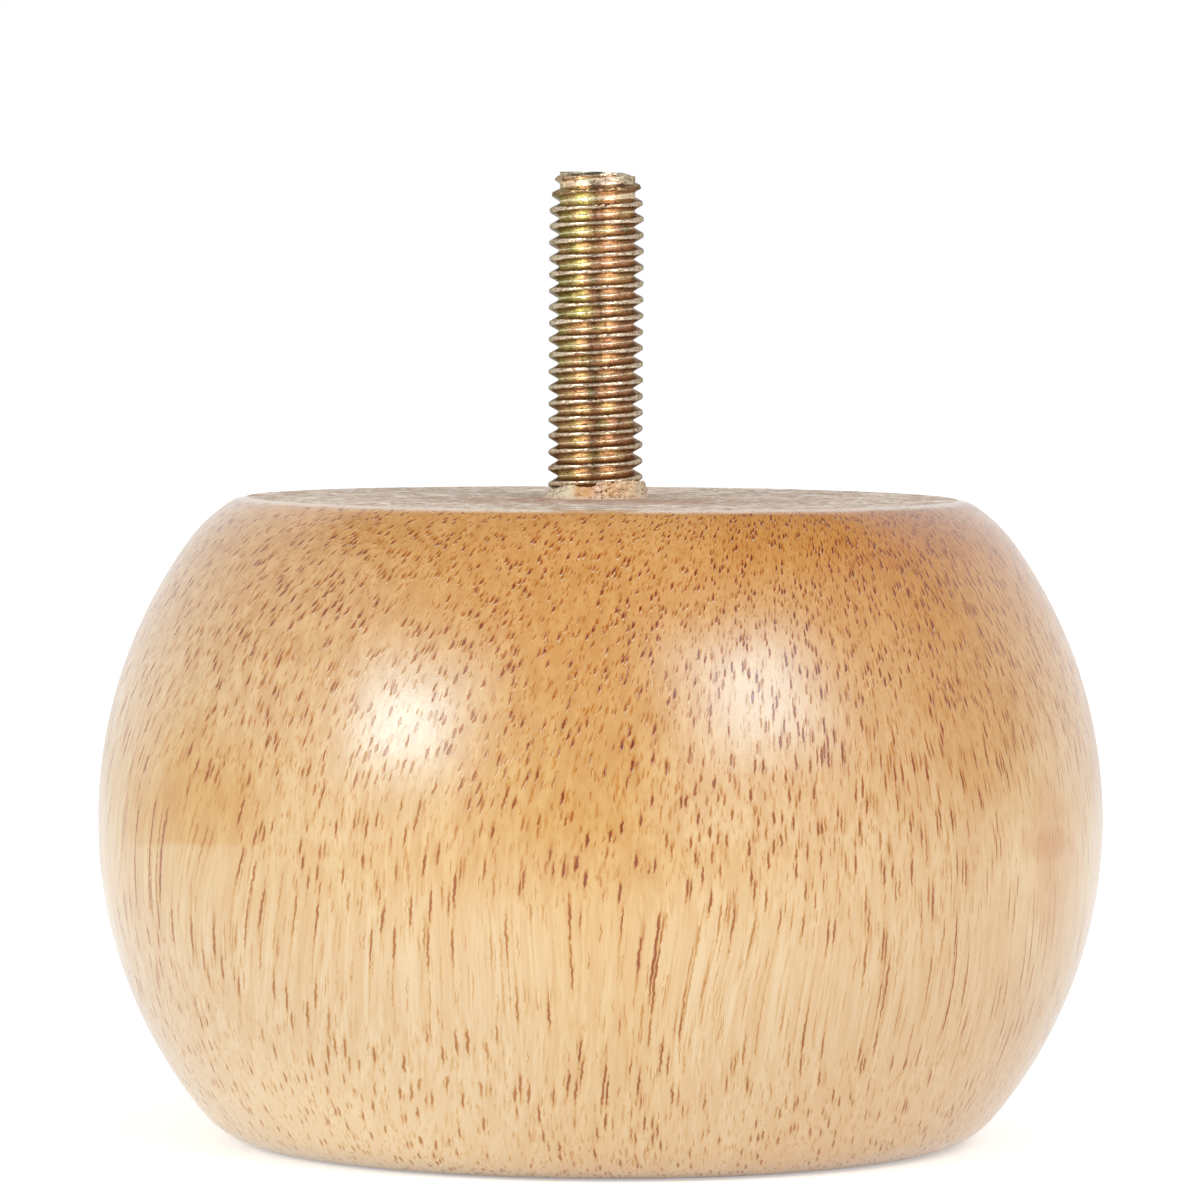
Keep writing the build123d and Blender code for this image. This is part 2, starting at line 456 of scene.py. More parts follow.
def make_collar(material):
    """A thin flap of glue on the left, a smooth bead in the middle and a crumbly chunk on the right."""
    shape = Shape()
    count, outer = COLLAR_COLUMNS, COLLAR_RADIUS
    rings = [circle(outer, FOOT_HEIGHT, count, -BOLT_OFFSET)]
    for step in range(WALL_ROWS + BROW_ROWS + 1):
        ring = []
        for i in range(count):
            angle = (360 * i / count + 180) % 360 - 180
            a = radians(angle)
            c, d = cos(a), sin(a)
            chunk = smooth(-92, -84, angle) * smooth(30, 5, angle)
            flap = exp(-((angle + 135) / 24) ** 2)
            top = collar_top(angle) + 0.06 * bumps(c * 5, d * 5, 1.0, 0.7)
            base = 5.1 + 0.12 * bumps(c * 5, d * 5, 4.0, 1.2) + 0.06 * chunk
            lip = base - 0.35 - 0.45 * flap + 0.15 * chunk
            if step <= WALL_ROWS:
                t = step / WALL_ROWS
                radius, height = base + (lip - base) * t**1.4, top * t
            else:
                t = (step - WALL_ROWS) / BROW_ROWS
                radius, height = lip + (COLLAR_INNER - lip) * t, top * (1 - 0.12 * t * t)
            x, y, z = radius * c, radius * d, height
            patch = smooth(-0.25, 0.35, bumps(x, y, z, 1.1, 2))
            crevice, off = pebbles(x, y, z + 5, 0.70)
            crevice *= patch
            pit = smooth(0.36, 0.16, pebbles(x + 9, y, z, 0.42)[1])
            pit *= smooth(-0.1, 0.4, bumps(x, y, z + 7, 0.9, 2))
            push = 0.10 * bumps(x, y, z, 1.4) * (1 - 0.4 * chunk) + 0.05 * bumps(x, y, z * 2.0, 0.5)
            push -= chunk * (0.15 * crevice + 0.10 * off + 0.22 * pit) + 0.10 * pit
            fold = flap * smooth(0.10, 0.0, abs(height - 0.55 - 0.025 * (angle + 140)))
            push -= 0.12 * fold
            push *= smooth(0.0, 0.12, step / WALL_ROWS) * smooth(1.0, 0.6, (step - WALL_ROWS) / BROW_ROWS)
            if step <= WALL_ROWS:
                radius = min(outer - 0.02, radius + push)
            else:
                height += push * smooth(0, 0.4, t)
            # painted shade: how dark the glue's shader paints this point, deepest in crevices, pits and the fold
            depth = chunk * (0.45 * crevice + 0.9 * pit) + (1 - chunk) * (0.5 * pit + 0.8 * fold)
            shape.marks[(step + 1) * count + i] = min(1.0, depth)
            ring.append((-BOLT_OFFSET + radius * c, radius * d, FOOT_HEIGHT + max(0.0, height)))
        rings.append(ring)
    under = [
        circle(COLLAR_INNER, SHANK_HIGH + 0.1, count, -BOLT_OFFSET),
        circle(SHANK_RADIUS, SHANK_HIGH, count, -BOLT_OFFSET),
        circle(SHANK_RADIUS, MOUTH_BOTTOM, count, -BOLT_OFFSET),
        circle(outer, FOOT_HEIGHT, count, -BOLT_OFFSET),
    ]
    shape.add_rings(rings + under)
    draw = random.Random(CRUMB_SEED)
    for _ in range(CRUMBS):
        angle = draw.uniform(-92, 12) if draw.random() < 0.8 else draw.uniform(-180, 180)
        a = radians(angle)
        size = draw.uniform(0.06, 0.20)
        t = draw.random() ** 0.8
        radius = 5.12 - 0.28 * t**1.4
        height = FOOT_HEIGHT + 0.06 + (collar_top(angle) - 0.06) * t
        place = Vector((-BOLT_OFFSET + radius * cos(a), radius * sin(a), height))
        add_crumb(shape, place, size, draw)
    return shape.build("dried_collar", [material], sharp=50)


def add_crumb(shape, place, size, draw):
    """One small angular grain."""
    ball = bmesh.new()
    bmesh.ops.create_icosphere(ball, subdivisions=2, radius=1)
    stretch = Vector((draw.uniform(0.7, 1.3), draw.uniform(0.7, 1.3), draw.uniform(0.6, 1.0))) * size
    seed = draw.uniform(0, 100)
    points = []
    for v in ball.verts:
        wobble = 1 + 0.35 * bumps(v.co.x + seed, v.co.y, v.co.z, 0.9, 2)
        points.append(tuple(place[k] + v.co[k] * stretch[k] * wobble for k in range(3)))
    shape.add(points, [[v.index for v in f.verts] for f in ball.faces])
    ball.free()


# ---- materials ----

class Nodes:
    """Short calls that add nodes to one tree. An input is a socket, a number or a tuple."""

    def __init__(self, tree):
        self.tree = tree
        tree.nodes.clear()

    def add(self, kind, inputs=(), **settings):
        node = self.tree.nodes.new(kind)
        for name, value in settings.items():
            setattr(node, name, value)
        for name, value in dict(inputs).items():
            socket = node.inputs[name]
            if isinstance(value, bpy.types.NodeSocket):
                self.tree.links.new(value, socket)
            else:
                socket.default_value = value
        return node

    def math(self, operation, a, b=0.0, c=0.0):
        return self.add("ShaderNodeMath", {0: a, 1: b, 2: c}, operation=operation).outputs[0]

    def vector(self, operation, a, b=(0, 0, 0)):
        made = self.add("ShaderNodeVectorMath", {0: a, 1: b}, operation=operation)
        return made.outputs["Value" if operation in ("LENGTH", "DOT_PRODUCT") else "Vector"]

    def place(self):
        """Where the surface is in the object's own frame, in millimetres."""
        metres = self.add("ShaderNodeTexCoord").outputs["Object"]
        made = self.add("ShaderNodeVectorMath", {0: metres, "Scale": 1 / MM}, operation="SCALE")
        return made.outputs["Vector"]

    def join(self, x=0.0, y=0.0, z=0.0):
        return self.add("ShaderNodeCombineXYZ", {0: x, 1: y, 2: z}).outputs[0]

    def split(self, vector):
        return tuple(self.add("ShaderNodeSeparateXYZ", {0: vector}).outputs)

    def step(self, value, low, high, out_low=0.0, out_high=1.0, kind="SMOOTHSTEP"):
        """The value mapped from low..high to out_low..out_high, with soft ends."""
        inputs = {"Value": value, "From Min": low, "From Max": high, "To Min": out_low, "To Max": out_high}
        return self.add("ShaderNodeMapRange", inputs, interpolation_type=kind).outputs[0]

    def mix(self, share, a, b, blend="MIX"):
        made = self.add("ShaderNodeMix", {0: share, 6: a, 7: b}, data_type="RGBA", blend_type=blend)
        made.clamp_factor = True
        return made.outputs[2]

    def soak(self, colour, tint, depth):
        """The colour seen through this depth of a stain. A depth of 1 multiplies it by the tint."""
        deep = self.add("ShaderNodeGamma", {"Color": tint, "Gamma": depth}).outputs[0]
        return self.mix(1.0, colour, deep, "MULTIPLY")

    def oval(self, across, up, centre, reach, soft=0.4):
        """1 inside an oval in two directions, given its middle and its half widths, and 0 outside."""
        off = self.join(
            self.math("MULTIPLY", self.math("SUBTRACT", across, centre[0]), 1 / reach[0]),
            self.math("MULTIPLY", self.math("SUBTRACT", up, centre[1]), 1 / reach[1]),
        )
        return self.step(self.vector("LENGTH", off), 1 + soft, 1 - soft)

    def noise(self, place, scale, detail=2.0, roughness=0.5, distortion=0.0, colour=False):
        inputs = {"Vector": place, "Scale": scale, "Detail": detail, "Roughness": roughness, "Distortion": distortion}
        return self.add("ShaderNodeTexNoise", inputs).outputs["Color" if colour else "Fac"]

    def stretched(self, place, stretch, detail, roughness=0.5, distortion=0.0):
        """Noise whose frequency differs with the direction."""
        return self.noise(self.vector("MULTIPLY", place, stretch), 1.0, detail, roughness, distortion)

    def ramp(self, value, stops):
        made = self.add("ShaderNodeValToRGB", {"Fac": value})
        elements = made.color_ramp.elements
        while len(elements) < len(stops):
            elements.new(0.5)
        for element, (position, colour) in zip(elements, stops):
            element.position = position
            element.color = colour
        return made.outputs["Color"]

    def bump(self, strength, distance, height):
        return self.add("ShaderNodeBump", {"Strength": strength, "Distance": distance, "Height": height}).outputs[0]

    def finish(self, shader, output="ShaderNodeOutputMaterial"):
        self.add(output, {0: shader.outputs[0]})


def linear(red, green, blue):
    """A colour given as it shows on a screen, from 0 to 255, as the shader takes it."""
    def one(value):
        share = value / 255
        return share / 12.92 if share <= 0.04045 else ((share + 0.055) / 1.055) ** 2.4
    return (one(red), one(green), one(blue), 1.0)


def new_material(name):
    material = bpy.data.materials.new(name)
    material.use_nodes = True
    return material, Nodes(material.node_tree)


# Grain. The wood is a piece of a log, whose pith runs through the foot and leans towards the viewer.
GRAIN_AXIS = Vector((0.045, -0.26, 0.962)).normalized()
GRAIN_RIGHT = (Vector((1, 0, 0)) - GRAIN_AXIS.x * GRAIN_AXIS).normalized()
GRAIN_BACK = GRAIN_AXIS.cross(GRAIN_RIGHT)
PITH = Vector((15.0, -4.0, 57.0))      # a point on the middle of the tree's rings
RING_RADIUS = 46.0              # from the pith to where a millimetre around the rings is a true one
PORE_SPACING = (0.38, 0.95, 24.0)           # millimetres around the rings, out and along the grain
SMALL_PORE_SPACING = (0.28, 0.65, 8.0)
SMALL_PORE_SHIFT = (7.3, 1.9, 4.1)          # keeps the small pores apart from the large ones
LOWER_RIGHT = (0.5, 0.87, 0.0)              # of a pore's middle, around the rings and out

# Stain
STAIN_EDGE = 29.3               # height where the amber ends, at the turning axis
STAIN_TILT = 0.078              # how much lower that edge is for each millimetre further back
AMBER = (0.92, 0.79, 0.54, 1.0)
KNOT_BROWN = (0.80, 0.56, 0.37, 1.0)
PORE_BROWN = (0.53, 0.24, 0.055, 1.0)
WHITE = (1, 1, 1, 1)


def grain_place(n):
    """Millimetres in the object's own frame, and from the pith in the wood's: right, back and along the grain."""
    place = n.place()
    off = n.vector("SUBTRACT", place, tuple(PITH))
    straight = n.join(*(n.vector("DOT_PRODUCT", off, tuple(axis)) for axis in (GRAIN_RIGHT, GRAIN_BACK, GRAIN_AXIS)))
    wander = n.vector("SUBTRACT", n.noise(straight, 0.035, 1.0, colour=True), (0.5, 0.5, 0.5))
    return place, n.vector("ADD", straight, n.vector("MULTIPLY", wander, (5.0, 5.0, 0.0)))


def ring_place(n, grain):
    """Millimetres around the rings, out along the rays and along the grain."""
    right, back, along = n.split(grain)
    turn = n.math("ARCTAN2", right, n.math("MULTIPLY", back, -1.0))
    out = n.vector("LENGTH", n.join(right, back))
    return n.join(n.math("MULTIPLY", turn, RING_RADIUS), out, along), out


def pores(n, grain, spacing, shift=(0, 0, 0)):
    """Long thin pores cut by the surface. Gives the distance from the nearest one's middle, in spacings, a random
    number for each pore, and how far this point lies to its lower right."""
    cell = n.vector("ADD", n.vector("DIVIDE", grain, spacing), shift)
    found = n.add("ShaderNodeTexVoronoi", {"Vector": cell, "Scale": 1.0, "Randomness": 1.0}).outputs
    chance = n.add("ShaderNodeSeparateColor", {0: found["Color"]}).outputs[0]
    off = n.vector("SUBTRACT", cell, found["Position"])
    return found["Distance"], chance, n.vector("DOT_PRODUCT", off, LOWER_RIGHT)


def lacquered_wood():
    material, n = new_material("lacquered_wood")
    place, grain = grain_place(n)
    rings, out = ring_place(n, grain)
    x, front, height = n.split(place)

    # how far the surface cuts across the grain: 0 along it, 1 on end grain
    normal = n.add("ShaderNodeTexCoord").outputs["Normal"]
    across = n.vector("DOT_PRODUCT", normal, tuple(GRAIN_AXIS))
    end_grain = n.step(across, 0.05, 0.85)
    cutting = n.math("MAXIMUM", n.step(across, 0.1, 0.85, kind="LINEAR"), n.step(across, -0.1, -0.7, 0.0, 0.3))

    # fibre colour
    long_noise = n.stretched(grain, (0.9, 0.5, 0.03), 3.0, 0.6)
    fine_noise = n.stretched(grain, (3.6, 2.2, 0.10), 3.0, 0.65)
    cloud = n.stretched(grain, (0.06, 0.10, 0.025), 2.0)
    side = n.mix(n.step(long_noise, 0.32, 0.68), linear(223, 187, 141), linear(231, 202, 161))
    cut = n.mix(n.step(long_noise, 0.3, 0.7), linear(182, 130, 72), linear(203, 157, 101))
    colour = n.mix(end_grain, side, cut)
    ring = n.math("ADD", out, n.math("MULTIPLY", n.math("SUBTRACT", cloud, 0.5), 14.0))
    colour = n.mix(n.step(ring, 54.0, 36.0, 0.0, 0.4), colour, linear(204, 144, 76))
    colour = n.mix(n.math("MULTIPLY", n.step(ring, 29.0, 20.0, 0.0, 0.6), end_grain), colour, linear(168, 112, 60))
    colour = n.mix(n.step(fine_noise, 0.30, 0.62, 0.0, 0.20), colour, linear(206, 146, 84))

    # stain: amber patches that end just under the belly, more of it under the seat on the right and down the middle
    level = n.math("MULTIPLY_ADD", front, STAIN_TILT, height)
    loose = n.math("MULTIPLY_ADD", n.math("SUBTRACT", n.noise(place, 0.10, 2.0), 0.5), 9.0, x)
    line = n.math("MULTIPLY_ADD", n.noise(place, 0.12), 0.8, level)
    crisp = n.step(line, STAIN_EDGE - 0.4, STAIN_EDGE + 0.5)
    blurred = n.step(line, STAIN_EDGE - 0.8, STAIN_EDGE + 1.6)
    left_patch = n.math("MULTIPLY", n.oval(loose, level, (-39.0, 32.0), (5.5, 8.0), 0.6), crisp)
    middle_patch = n.math("MULTIPLY", n.oval(loose, level, (-3.5, 38.0), (12.0, 15.0), 0.5), blurred)
    patches = n.math("MULTIPLY_ADD", left_patch, 1.1, n.math("MULTIPLY", middle_patch, 0.42))
    wide = n.math("MULTIPLY", blurred, n.step(level, 44.0, 34.0))
    wide = n.math("MULTIPLY", n.step(loose, 8.0, -6.0, 0.0, 0.25), wide)
    below = n.math("MULTIPLY", n.step(line, STAIN_EDGE + 1.0, STAIN_EDGE - 0.5), n.step(level, 16.0, 29.0, 0.0, 0.42))
    below = n.math("MULTIPLY", below, n.step(loose, 30.0, 4.0, 0.3, 1.0))
    slant = n.math("MULTIPLY_ADD", level, 0.33, loose)
    band = n.math("MULTIPLY", n.step(slant, 43.0, 47.5), n.step(slant, 55.5, 51.0))
    band = n.math("MULTIPLY", band, n.math("MULTIPLY", n.step(level, 31.0, 37.0), n.step(front, 0.0, -12.0)))
    depth = n.math("ADD", n.math("ADD", patches, wide), n.math("MULTIPLY_ADD", band, 0.45, below))
    shoulder = n.math("MULTIPLY", n.step(height, 49.0, 56.0), n.step(loose, 18.0, 25.0, 0.0, 0.7))
    shoulder = n.math("MULTIPLY_ADD", n.step(height, 56.0, 60.0), n.step(loose, 6.0, 14.0, 0.0, 0.9), shoulder)
    depth = n.math("MULTIPLY_ADD", shoulder, 0.75, depth)
    depth = n.math("MULTIPLY_ADD", n.oval(loose, level, (-3.0, 28.0), (15.0, 3.5), 0.6), 0.35, depth)
    middle = n.oval(x, level, (0.6, 18.0), (6.5, 20.0), 0.6)
    depth = n.math("MULTIPLY_ADD", middle, 0.38, depth)
    colour = n.soak(colour, AMBER, depth)
    # painted light: the wood lighter towards the base, more on the left, standing in for light bounced from the floor
    painted_base_light = n.math("MULTIPLY", n.step(height, 16.0, 3.0), n.step(loose, -4.0, -26.0, 0.15, 0.5))
    colour = n.mix(painted_base_light, colour, linear(250, 222, 180))

    # a pale figure with a small brown mark in it, on the right
    facing = n.step(front, 6.0, -6.0)
    adrift = n.math("MULTIPLY_ADD", n.math("SUBTRACT", n.noise(place, 0.22), 0.5), 5.0, x)
    afloat = n.math("MULTIPLY_ADD", n.math("SUBTRACT", n.noise(place, 0.17), 0.5), 12.0, level)
    figure = n.math("MULTIPLY", n.oval(adrift, afloat, (42.9, 28.0), (4.4, 9.0), 0.8), facing)
    spots = n.math("MAXIMUM", n.oval(adrift, level, (43.2, 29.3), (2.2, 2.3), 0.7),
                   n.math("MULTIPLY", n.oval(adrift, afloat, (43.3, 28.0), (2.1, 6.5), 0.8), 0.7))
    colour = n.mix(n.math("MULTIPLY", figure, 0.62), colour, linear(234, 205, 160))
    colour = n.soak(colour, KNOT_BROWN, n.math("MULTIPLY", spots, facing))

    # pores, crowded away from the tree's pith and few in the pale figure
    ragged = n.vector("SUBTRACT", n.noise(place, 1.6, 1.0, colour=True), (0.5, 0.5, 0.5))
    ragged = n.vector("ADD", rings, n.vector("MULTIPLY", ragged, (0.3, 0.3, 0.0)))
    far, chance, beside = pores(n, ragged, PORE_SPACING)
    long_ones = n.step(chance, 0.25, 0.75)
    short_ones = n.step(chance, 0.0, 0.9, 0.2, 1.0, kind="LINEAR")
    more_seen = n.math("SUBTRACT", short_ones, long_ones)
    seen = n.math("MULTIPLY_ADD", n.step(cutting, 0.05, 0.5), more_seen, long_ones)
    large = n.math("MULTIPLY", n.step(far, 0.31, 0.19), seen)
    halo = n.math("MULTIPLY", n.step(far, 0.62, 0.12), n.step(chance, 0.25, 0.9, 0.0, 1.0))
    small_far, small_chance, _ = pores(n, ragged, SMALL_PORE_SPACING, SMALL_PORE_SHIFT)
    small = n.math("MULTIPLY", n.step(small_far, 0.29, 0.15), n.step(small_chance, 0.15, 0.8, 0.0, 1.0))
    crowd = n.math("MULTIPLY", n.step(ring, 11.0, 20.0, 0.45, 1.0), n.step(cloud, 0.35, 0.6, 0.8, 1.15))
    strength = n.step(x, -24.0, 34.0, 0.90, 1.12, kind="LINEAR")
    strength = n.math("MULTIPLY", strength, n.step(level, 12.0, 30.0, 0.85, 1.0))
    strength = n.math("MULTIPLY", strength, n.math("SUBTRACT", 1.0, n.math("MULTIPLY", figure, 0.9)))
    strength = n.math("MULTIPLY", strength, n.math("MULTIPLY_ADD", middle, 0.35, 1.0))
    strength = n.math("MULTIPLY", strength, n.math("MULTIPLY_ADD", shoulder, 0.25, 1.0))
    calm = n.math("MULTIPLY", n.oval(x, level, (-19.0, 40.0), (9.0, 8.0), 0.6), 0.40)
    strength = n.math("MULTIPLY", strength, n.math("SUBTRACT", 1.0, calm))
    marks = n.math("MULTIPLY", n.math("MULTIPLY", halo, crowd), n.step(cutting, 0.0, 0.8, 0.30, 0.95))
    marks = n.math("MULTIPLY_ADD", n.math("MULTIPLY", small, crowd), n.step(cutting, 0.0, 0.9, 0.40, 0.60), marks)
    marks = n.math("MULTIPLY_ADD", large, n.step(cutting, 0.0, 0.9, 0.78, 0.62), marks)
    fine_lines = n.math("MULTIPLY", n.step(fine_noise, 0.54, 0.72, 0.0, 0.30), n.step(long_noise, 0.40, 0.60))
    colour = n.soak(colour, PORE_BROWN, n.math("MULTIPLY_ADD", marks, strength, fine_lines))

    # painted glint: a light lip painted on the lower right of the larger pores, which the relief also raises a little
    painted_glint_and_lip = n.math("MULTIPLY", n.step(far, 0.46, 0.38), n.step(far, 0.22, 0.28))
    painted_glint_and_lip = n.math("MULTIPLY", painted_glint_and_lip, n.step(beside, 0.20, 0.27))
    painted_glint_and_lip = n.math("MULTIPLY", painted_glint_and_lip, n.math("MULTIPLY", n.step(chance, 0.25, 0.6), cutting))
    colour = n.mix(n.math("MULTIPLY", painted_glint_and_lip, 0.5), colour, linear(252, 232, 196))

    # painted highlight: a pale line painted along the seat's broken edge, where the arris catches the light
    arris = n.step(n.math("MULTIPLY_ADD", n.noise(place, 0.5), 0.4, height), FOOT_HEIGHT - 0.10, FOOT_HEIGHT + 0.04)
    colour = n.mix(n.math("MULTIPLY", arris, 0.5), colour, linear(222, 198, 170))

    # relief: sunken pores with their lips, and the faint rings of the turning
    turning = n.noise(n.join(z=n.math("MULTIPLY", height, 5.0)), 1.0, 2.0, 0.7)
    relief = n.math("MULTIPLY", large, -0.6)
    relief = n.math("MULTIPLY_ADD", painted_glint_and_lip, 0.3, relief)
    relief = n.math("MULTIPLY_ADD", turning, 0.16, relief)
    bump = n.bump(1.0, 0.00005, relief)
    shader = n.add("ShaderNodeBsdfPrincipled", {
        "Base Color": colour, "Roughness": 0.22, "Normal": bump,
        "Specular IOR Level": 0.5, "Specular Tint": (0.35, 0.8, 1.0, 1.0),
        "Coat Weight": 0.5, "Coat Roughness": 0.22, "Coat IOR": 1.5, "Coat Normal": bump,
    })
    n.finish(shader)
    return material


def bare_wood():
    material, n = new_material("bare_wood")
    place, grain = grain_place(n)
    streak = n.stretched(place, (0.30, 0.30, 0.2), 4.0, 0.75)
    spot = n.stretched(place, (0.9, 0.5, 1.0), 3.0, 0.7)
    fibre = n.stretched(place, (0.5, 0.7, 1.0), 3.0, 0.6, 1.0)
    colour = n.mix(n.step(streak, 0.38, 0.62), linear(196, 172, 152), linear(226, 208, 192))
    colour = n.mix(n.step(spot, 0.50, 0.60, 0.0, 0.7), colour, linear(162, 128, 106))
    colour = n.mix(n.step(fibre, 0.54, 0.60, 0.0, 0.8), colour, linear(248, 236, 224))

    # the seat darker around the bolt, mostly in front of it
    off = n.vector("SUBTRACT", place, (-BOLT_OFFSET, -8.0, FOOT_HEIGHT))
    off = n.vector("LENGTH", n.vector("MULTIPLY", off, (0.6, 1.0, 0.0)))
    darker_near_bolt = n.math("MULTIPLY", n.step(off, 16.0, 5.0), n.step(spot, 0.36, 0.56, 0.15, 0.9))
    darker_near_bolt = n.math("MAXIMUM", darker_near_bolt, n.step(off, 8.0, 3.0, 0.0, 0.6))
    colour = n.mix(darker_near_bolt, colour, linear(172, 134, 110))

    far = pores(n, ring_place(n, grain)[0], PORE_SPACING)[0]
    colour = n.mix(n.step(far, 0.28, 0.15, 0.0, 0.5), colour, linear(128, 92, 64))
    shader = n.add("ShaderNodeBsdfPrincipled", {
        "Base Color": colour, "Roughness": 0.8, "Specular IOR Level": 0.3, "Normal": n.bump(0.6, 0.00015, spot),
    })
    n.finish(shader)
    return material


def yellow_zinc():
    material, n = new_material("yellow_zinc_steel")
    place = n.place()
    x, y, z = n.split(n.vector("ADD", place, (BOLT_OFFSET, 0, 0)))

    # the film's colours, from green on the left to copper on the right, in the grooves and on the flanks; the flanks
    # are painted darker than the grooves, as painted shade between the threads
    film = n.stretched(place, (0.4, 0.4, 0.5), 2.0, 0.6, 0.6)
    copper = n.step(n.math("MULTIPLY_ADD", n.math("SUBTRACT", film, 0.5), 6.0, x), -1.6, 0.2)
    copper = n.math("MULTIPLY", n.math("SUBTRACT", copper, 0.5), n.step(z, 68.0, 86.0, 0.10, 0.26))
    copper = n.math("ADD", copper, n.step(z, STUD_TIP - 2.2, STUD_TIP - 1.2, 0.0, 0.12))
    hue = n.math("ADD", n.math("ADD", film, copper), n.step(z, 84.0, 74.0, 0.0, 0.06))
    groove = n.ramp(hue, (
        (0.28, linear(228, 220, 172)), (0.40, linear(246, 234, 190)), (0.50, linear(246, 224, 186)),
        (0.60, linear(242, 212, 178)), (0.70, linear(236, 203, 180)), (0.78, linear(216, 204, 172)),
    ))
    flank = n.ramp(hue, (
        (0.28, linear(178, 166, 118)), (0.40, linear(208, 188, 146)), (0.50, linear(204, 174, 138)),
        (0.60, linear(204, 166, 136)), (0.70, linear(200, 160, 136)), (0.78, linear(172, 154, 120)),
    ))
    uneven = n.math("MULTIPLY", n.math("SUBTRACT", n.noise(place, 2.4, 2.0), 0.5), 0.22)
    reach = n.math("ADD", n.vector("LENGTH", n.join(x, y)), uneven)
    colour = n.mix(n.step(reach, 3.80, 3.98), groove, flank)

    # painted shade: a brown line below each crest, broken up by the grime noise; and the crest itself worn to bare
    # steel
    grime = n.stretched(place, (1.6, 1.6, 3.2), 4.0, 0.75)
    line = n.math("MULTIPLY", n.step(reach, 4.16, 4.34), n.step(reach, 4.52, 4.42))
    line = n.math("MULTIPLY", line, n.step(grime, 0.35, 0.6, 0.35, 0.9))
    colour = n.mix(line, colour, linear(120, 88, 52))
    worn = n.step(z, STUD_TIP - 1.5, STUD_TIP - 0.5, 0.0, 0.35)
    worn = n.math("MAXIMUM", n.step(reach, 4.46, 4.58, 0.0, 0.9), worn)
    bare = n.ramp(n.stretched(place, (1.3, 1.3, 4.0), 3.0, 0.65), (
        (0.32, linear(160, 142, 112)), (0.42, linear(212, 194, 166)),
        (0.53, linear(232, 216, 194)), (0.66, linear(190, 160, 128)),
    ))
    colour = n.mix(worn, colour, bare)

    # dirt, more of it near the tip, and the sawn end
    more = n.math("ADD", grime, n.step(z, STUD_TIP - 2.0, STUD_TIP - 0.8, 0.0, 0.05))
    specks = n.step(n.noise(place, 6.0, 2.0, 0.7), 0.56, 0.66, 0.0, 0.6)
    dirt = n.math("MAXIMUM", n.step(more, 0.54, 0.63, 0.0, 0.8), specks)
    colour = n.mix(dirt, colour, linear(122, 88, 54))
    rim = n.step(z, STUD_TIP - 0.20, STUD_TIP - 0.10, 0.0, 0.85)
    colour = n.mix(rim, colour, linear(150, 148, 132))
    scratch = n.stretched(place, (1.0, 1.0, 12.0), 3.0, 0.7)
    shader = n.add("ShaderNodeBsdfPrincipled", {
        "Base Color": colour, "Metallic": 1.0, "Specular Tint": (0.45, 0.45, 0.43, 1.0),
        "Roughness": n.step(grime, 0.3, 0.7, 0.18, 0.40), "Normal": n.bump(0.4, 0.00006, scratch),
    })
    n.finish(shader)
    return material


def dried_glue():
    material, n = new_material("dried_glue")
    place = n.place()
    x, _, z = n.split(n.vector("ADD", place, (BOLT_OFFSET, 0, 0)))
    lift = n.math("SUBTRACT", z, FOOT_HEIGHT)
    crevice = n.add("ShaderNodeAttribute", attribute_name="crevice").outputs["Fac"]
    mottle = n.noise(place, 1.1, 3.0, 0.6)
    speck = n.noise(place, 3.6, 3.0, 0.7)
    along = n.math("MULTIPLY_ADD", n.math("SUBTRACT", mottle, 0.5), 1.6, x)
    colour = n.ramp(n.step(along, -5.0, 5.0, kind="LINEAR"), (
        (0.0, linear(206, 192, 168)), (0.27, linear(214, 198, 168)),
        (0.33, linear(206, 156, 104)), (0.44, linear(204, 152, 100)),
        (0.52, linear(224, 192, 168)), (0.62, linear(222, 186, 142)),
        (0.85, linear(224, 196, 158)), (1.0, linear(196, 176, 152)),
    ))
    brown = n.math("MULTIPLY", n.step(mottle, 0.52, 0.64), n.step(x, -1.0, 0.5))
    colour = n.mix(n.math("MULTIPLY", brown, 0.6), colour, linear(196, 132, 82))
    colour = n.mix(n.step(speck, 0.55, 0.68, 0.0, 0.7), colour, linear(242, 226, 202))
    colour = n.mix(n.step(speck, 0.42, 0.32, 0.0, 0.6), colour, linear(158, 108, 70))
    # painted shade: darker brown deep in the crevices, pits and the fold of the glue
    colour = n.mix(n.step(crevice, 0.2, 1.0, 0.0, 0.85), colour, linear(132, 80, 44))
    colour = n.mix(n.step(lift, 0.30, 0.10, 0.0, 0.8), colour, linear(206, 180, 160))
    shader = n.add("ShaderNodeBsdfPrincipled", {
        "Base Color": colour, "Roughness": 0.55, "Specular IOR Level": 0.4, "Normal": n.bump(0.6, 0.0001, speck),
    })
    n.finish(shader)
    return material


# ---- stage ----

OBJECT_MIDDLE = Vector((0, 0, 0.045))       # metres, as is all below
FLOOR_REACH = 8.0
LAMP_COLOUR = (0.92, 0.98, 1.0)
CARD_STEPS = 12


def stage_mesh(name, points, faces, material):
    mesh = bpy.data.meshes.new(name)
    mesh.from_pydata(points, [], faces)
    mesh.materials.append(material)
    made = put(name, mesh)
    return made


